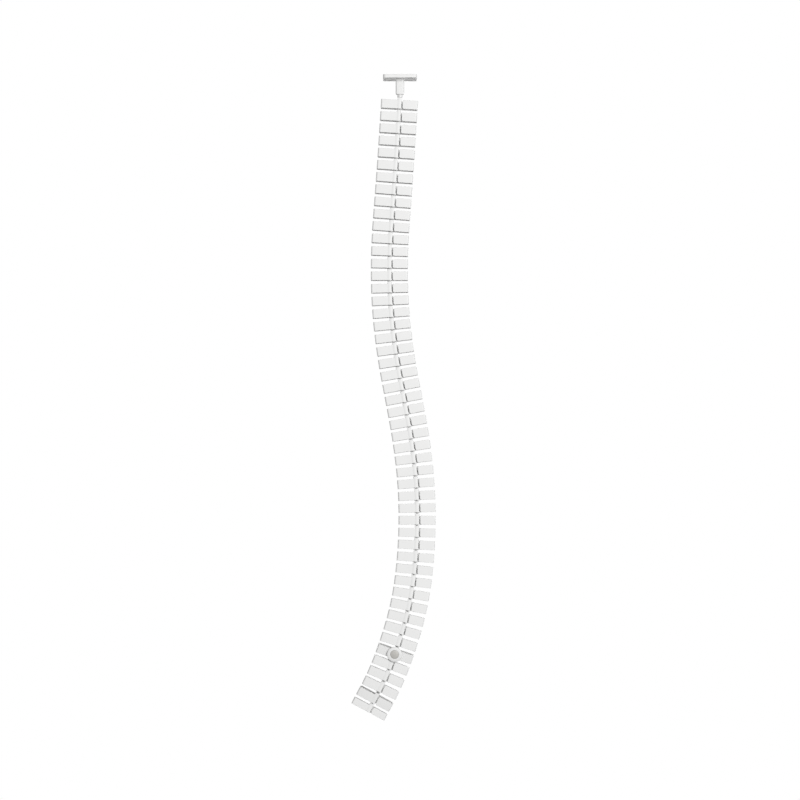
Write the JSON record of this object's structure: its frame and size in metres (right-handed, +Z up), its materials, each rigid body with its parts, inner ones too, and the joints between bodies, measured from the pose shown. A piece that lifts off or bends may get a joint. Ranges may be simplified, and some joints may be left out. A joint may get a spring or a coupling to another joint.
{
  "type": "cable spine",
  "caption": "Cable spine: a hanging chain of S-section plastic links on ball joints that leads cables from a desk bracket to the floor, with a magnet link.",
  "frame": {"origin": "middle of the bracket's top face, which lies against the underside of the desk", "axes": "+Z up out of the bracket's top face, -Y towards the front that shows the magnet, +X to the right"},
  "size_m": [0.159, 0.06, 1.2207],
  "materials": {
    "plastic": "white moulded polypropylene with a fine satin grain",
    "magnet": "grey plated magnet with a dull face"
  },
  "bodies": {
    "bracket": {"top_bracket": "plastic"},
    "link_01": {"link_01": "plastic"},
    "link_02": {"link_02": "plastic"},
    "link_03": {"link_03": "plastic"},
    "link_04": {"link_04": "plastic"},
    "link_05": {"link_05": "plastic"},
    "link_06": {"link_06": "plastic"},
    "link_07": {"link_07": "plastic"},
    "link_08": {"link_08": "plastic"},
    "link_09": {"link_09": "plastic"},
    "link_10": {"link_10": "plastic"},
    "link_11": {"link_11": "plastic"},
    "link_12": {"link_12": "plastic"},
    "link_13": {"link_13": "plastic"},
    "link_14": {"link_14": "plastic"},
    "link_15": {"link_15": "plastic"},
    "link_16": {"link_16": "plastic"},
    "link_17": {"link_17": "plastic"},
    "link_18": {"link_18": "plastic"},
    "link_19": {"link_19": "plastic"},
    "link_20": {"link_20": "plastic"},
    "link_21": {"link_21": "plastic"},
    "link_22": {"link_22": "plastic"},
    "link_23": {"link_23": "plastic"},
    "link_24": {"link_24": "plastic"},
    "link_25": {"link_25": "plastic"},
    "link_26": {"link_26": "plastic"},
    "link_27": {"link_27": "plastic"},
    "link_28": {"link_28": "plastic"},
    "link_29": {"link_29": "plastic"},
    "link_30": {"link_30": "plastic"},
    "link_31": {"link_31": "plastic"},
    "link_32": {"link_32": "plastic"},
    "link_33": {"link_33": "plastic"},
    "link_34": {"link_34": "plastic"},
    "link_35": {"link_35": "plastic"},
    "link_36": {"link_36": "plastic"},
    "link_37": {"link_37": "plastic"},
    "link_38": {"link_38": "plastic"},
    "link_39": {"link_39": "plastic"},
    "link_40": {"link_40": "plastic"},
    "link_41": {"link_41": "plastic"},
    "link_42": {"link_42": "plastic"},
    "link_43": {"link_43": "plastic"},
    "link_44": {"link_44": "plastic"},
    "link_45": {"link_45": "plastic"},
    "magnet_link": {"magnet_link": "plastic", "magnet": "magnet"},
    "link_47": {"link_47": "plastic"},
    "link_48": {"link_48": "plastic"},
    "link_49": {"link_49": "plastic"},
    "link_50": {"link_50": "plastic"},
    "end_link": {"end_link": "plastic"}
  },
  "joints": [
    {"name": "link_01_nod", "type": "hinge", "parent": "bracket", "child": "link_01", "pos_m": [0, 0, -0.0361], "axis": [0.9981, 0, -0.061], "range_deg": [-8, 8]},
    {"name": "link_02_sway", "type": "hinge", "parent": "link_01", "child": "link_02", "pos_m": [-0.00142, 0, -0.05936], "axis": [0, -1, 0], "range_deg": [-7.97, 8.03]},
    {"name": "link_03_nod", "type": "hinge", "parent": "link_02", "child": "link_03", "pos_m": [-0.00286, 0, -0.08261], "axis": [0.9981, 0, -0.0622], "range_deg": [-8, 8]},
    {"name": "link_04_sway", "type": "hinge", "parent": "link_03", "child": "link_04", "pos_m": [-0.00431, 0, -0.10587], "axis": [0, -1, 0], "range_deg": [-7.97, 8.03]},
    {"name": "link_05_nod", "type": "hinge", "parent": "link_04", "child": "link_05", "pos_m": [-0.00577, 0, -0.12912], "axis": [0.9978, 0, -0.0658], "range_deg": [-8, 8]},
    {"name": "link_06_sway", "type": "hinge", "parent": "link_05", "child": "link_06", "pos_m": [-0.0073, 0, -0.15237], "axis": [0, -1, 0], "range_deg": [-7.83, 8.18]},
    {"name": "link_07_nod", "type": "hinge", "parent": "link_06", "child": "link_07", "pos_m": [-0.00891, 0, -0.17561], "axis": [0.9974, 0, -0.0719], "range_deg": [-8, 8]},
    {"name": "link_08_sway", "type": "hinge", "parent": "link_07", "child": "link_08", "pos_m": [-0.01059, 0, -0.19886], "axis": [0, -1, 0], "range_deg": [-7.83, 8.18]},
    {"name": "link_09_nod", "type": "hinge", "parent": "link_08", "child": "link_09", "pos_m": [-0.01233, 0, -0.22209], "axis": [0.9972, 0, -0.0744], "range_deg": [-8, 8]},
    {"name": "link_10_sway", "type": "hinge", "parent": "link_09", "child": "link_10", "pos_m": [-0.01407, 0, -0.24532], "axis": [0, -1, 0], "range_deg": [-8.03, 7.97]},
    {"name": "link_11_nod", "type": "hinge", "parent": "link_10", "child": "link_11", "pos_m": [-0.01579, 0, -0.26856], "axis": [0.9973, 0, -0.0732], "range_deg": [-8, 8]},
    {"name": "link_12_sway", "type": "hinge", "parent": "link_11", "child": "link_12", "pos_m": [-0.01749, 0, -0.2918], "axis": [0, -1, 0], "range_deg": [-9.05, 6.95]},
    {"name": "link_13_nod", "type": "hinge", "parent": "link_12", "child": "link_13", "pos_m": [-0.01877, 0, -0.31506], "axis": [0.9993, 0, -0.0366], "range_deg": [-8, 8]},
    {"name": "link_14_sway", "type": "hinge", "parent": "link_13", "child": "link_14", "pos_m": [-0.01963, 0, -0.33835], "axis": [0, -1, 0], "range_deg": [-9.05, 6.95]},
    {"name": "link_15_nod", "type": "hinge", "parent": "link_14", "child": "link_15", "pos_m": [-0.02005, 0, -0.36164], "axis": [1, 0, 0], "range_deg": [-8, 8]},
    {"name": "link_16_sway", "type": "hinge", "parent": "link_15", "child": "link_16", "pos_m": [-0.02005, 0, -0.38494], "axis": [0, -1, 0], "range_deg": [-9.34, 6.66]},
    {"name": "link_17_nod", "type": "hinge", "parent": "link_16", "child": "link_17", "pos_m": [-0.01951, 0, -0.40824], "axis": [0.9989, 0, 0.0468], "range_deg": [-8, 8]},
    {"name": "link_18_sway", "type": "hinge", "parent": "link_17", "child": "link_18", "pos_m": [-0.01842, 0, -0.43151], "axis": [0, -1, 0], "range_deg": [-9.34, 6.66]},
    {"name": "link_19_nod", "type": "hinge", "parent": "link_18", "child": "link_19", "pos_m": [-0.01679, 0, -0.45476], "axis": [0.9956, 0, 0.0934], "range_deg": [-8, 8]},
    {"name": "link_20_sway", "type": "hinge", "parent": "link_19", "child": "link_20", "pos_m": [-0.01461, 0, -0.47795], "axis": [0, -1, 0], "range_deg": [-9.34, 6.66]},
    {"name": "link_21_nod", "type": "hinge", "parent": "link_20", "child": "link_21", "pos_m": [-0.01189, 0, -0.50109], "axis": [0.9909, 0, 0.1349], "range_deg": [-8, 8]},
    {"name": "link_22_sway", "type": "hinge", "parent": "link_21", "child": "link_22", "pos_m": [-0.00875, 0, -0.52418], "axis": [0, -1, 0], "range_deg": [-9.05, 6.95]},
    {"name": "link_23_nod", "type": "hinge", "parent": "link_22", "child": "link_23", "pos_m": [-0.00519, 0, -0.54721], "axis": [0.9853, 0, 0.1711], "range_deg": [-8, 8]},
    {"name": "link_24_sway", "type": "hinge", "parent": "link_23", "child": "link_24", "pos_m": [-0.0012, 0, -0.57016], "axis": [0, -1, 0], "range_deg": [-9.05, 6.95]},
    {"name": "link_25_nod", "type": "hinge", "parent": "link_24", "child": "link_25", "pos_m": [0.00321, 0, -0.59304], "axis": [0.9825, 0, 0.1862], "range_deg": [-8, 8]},
    {"name": "link_26_sway", "type": "hinge", "parent": "link_25", "child": "link_26", "pos_m": [0.00755, 0, -0.61594], "axis": [0, -1, 0], "range_deg": [-7.83, 8.17]},
    {"name": "link_27_nod", "type": "hinge", "parent": "link_26", "child": "link_27", "pos_m": [0.01182, 0, -0.63884], "axis": [0.9836, 0, 0.1805], "range_deg": [-8, 8]},
    {"name": "link_28_sway", "type": "hinge", "parent": "link_27", "child": "link_28", "pos_m": [0.01603, 0, -0.66176], "axis": [0, -1, 0], "range_deg": [-6.92, 9.07]},
    {"name": "link_29_nod", "type": "hinge", "parent": "link_28", "child": "link_29", "pos_m": [0.0198, 0, -0.68475], "axis": [0.9897, 0, 0.1435], "range_deg": [-8, 8]},
    {"name": "link_30_sway", "type": "hinge", "parent": "link_29", "child": "link_30", "pos_m": [0.02314, 0, -0.70781], "axis": [0, -1, 0], "range_deg": [-6.92, 9.07]},
    {"name": "link_31_nod", "type": "hinge", "parent": "link_30", "child": "link_31", "pos_m": [0.02605, 0, -0.73093], "axis": [0.9943, 0, 0.1063], "range_deg": [-8, 8]},
    {"name": "link_32_sway", "type": "hinge", "parent": "link_31", "child": "link_32", "pos_m": [0.02853, 0, -0.75409], "axis": [0, -1, 0], "range_deg": [-6.47, 9.53]},
    {"name": "link_33_nod", "type": "hinge", "parent": "link_32", "child": "link_33", "pos_m": [0.03039, 0, -0.77732], "axis": [0.9986, 0, 0.0532], "range_deg": [-8, 8]},
    {"name": "link_34_sway", "type": "hinge", "parent": "link_33", "child": "link_34", "pos_m": [0.03163, 0, -0.80059], "axis": [0, -1, 0], "range_deg": [-6.47, 9.53]},
    {"name": "link_35_nod", "type": "hinge", "parent": "link_34", "child": "link_35", "pos_m": [0.03225, 0, -0.82388], "axis": [1, 0, 0], "range_deg": [-8, 8]},
    {"name": "link_36_sway", "type": "hinge", "parent": "link_35", "child": "link_36", "pos_m": [0.03225, 0, -0.84718], "axis": [0, -1, 0], "range_deg": [-6.62, 9.38]},
    {"name": "link_37_nod", "type": "hinge", "parent": "link_36", "child": "link_37", "pos_m": [0.03169, 0, -0.87047], "axis": [0.9988, 0, -0.0482], "range_deg": [-8, 8]},
    {"name": "link_38_sway", "type": "hinge", "parent": "link_37", "child": "link_38", "pos_m": [0.03056, 0, -0.89374], "axis": [0, -1, 0], "range_deg": [-6.62, 9.38]},
    {"name": "link_39_nod", "type": "hinge", "parent": "link_38", "child": "link_39", "pos_m": [0.02888, 0, -0.91698], "axis": [0.9954, 0, -0.0962], "range_deg": [-8, 8]},
    {"name": "link_40_sway", "type": "hinge", "parent": "link_39", "child": "link_40", "pos_m": [0.02664, 0, -0.94018], "axis": [0, -1, 0], "range_deg": [-6.62, 9.38]},
    {"name": "link_41_nod", "type": "hinge", "parent": "link_40", "child": "link_41", "pos_m": [0.02384, 0, -0.96331], "axis": [0.9871, 0, -0.1599], "range_deg": [-8, 8]},
    {"name": "link_42_sway", "type": "hinge", "parent": "link_41", "child": "link_42", "pos_m": [0.02012, 0, -0.98631], "axis": [0, -1, 0], "range_deg": [-5.7, 10.3]},
    {"name": "link_43_nod", "type": "hinge", "parent": "link_42", "child": "link_43", "pos_m": [0.01547, 0, -1.00914], "axis": [0.9711, 0, -0.2385], "range_deg": [-8, 8]},
    {"name": "link_44_sway", "type": "hinge", "parent": "link_43", "child": "link_44", "pos_m": [0.00992, 0, -1.03177], "axis": [0, -1, 0], "range_deg": [-5.7, 10.3]},
    {"name": "link_45_nod", "type": "hinge", "parent": "link_44", "child": "link_45", "pos_m": [0.00345, 0, -1.05415], "axis": [0.9534, 0, -0.3018], "range_deg": [-8, 8]},
    {"name": "magnet_link_sway", "type": "hinge", "parent": "link_45", "child": "magnet_link", "pos_m": [-0.00358, 0, -1.07637], "axis": [-0.0284, -0.9962, -0.0824], "range_deg": [-6.53, 9.47]},
    {"name": "link_47_nod", "type": "hinge", "parent": "magnet_link", "child": "link_47", "pos_m": [-0.01115, 0.00203, -1.09831], "axis": [0.9367, 0, -0.3502], "range_deg": [-3, 13]},
    {"name": "link_48_sway", "type": "hinge", "parent": "link_47", "child": "link_48", "pos_m": [-0.01931, 0.00203, -1.12013], "axis": [0, -1, 0], "range_deg": [-5.43, 10.57]},
    {"name": "link_49_nod", "type": "hinge", "parent": "link_48", "child": "link_49", "pos_m": [-0.02844, 0.00203, -1.14157], "axis": [0.9016, 0, -0.4326], "range_deg": [-8, 8]},
    {"name": "link_50_sway", "type": "hinge", "parent": "link_49", "child": "link_50", "pos_m": [-0.03852, 0.00203, -1.16258], "axis": [-0.0412, -0.9962, -0.0768], "range_deg": [-5.43, 10.57]},
    {"name": "end_link_nod", "type": "hinge", "parent": "link_50", "child": "end_link", "pos_m": [-0.04949, 0.00406, -1.18303], "axis": [0.8829, 0, -0.4695], "range_deg": [-3, 13]}
  ]
}
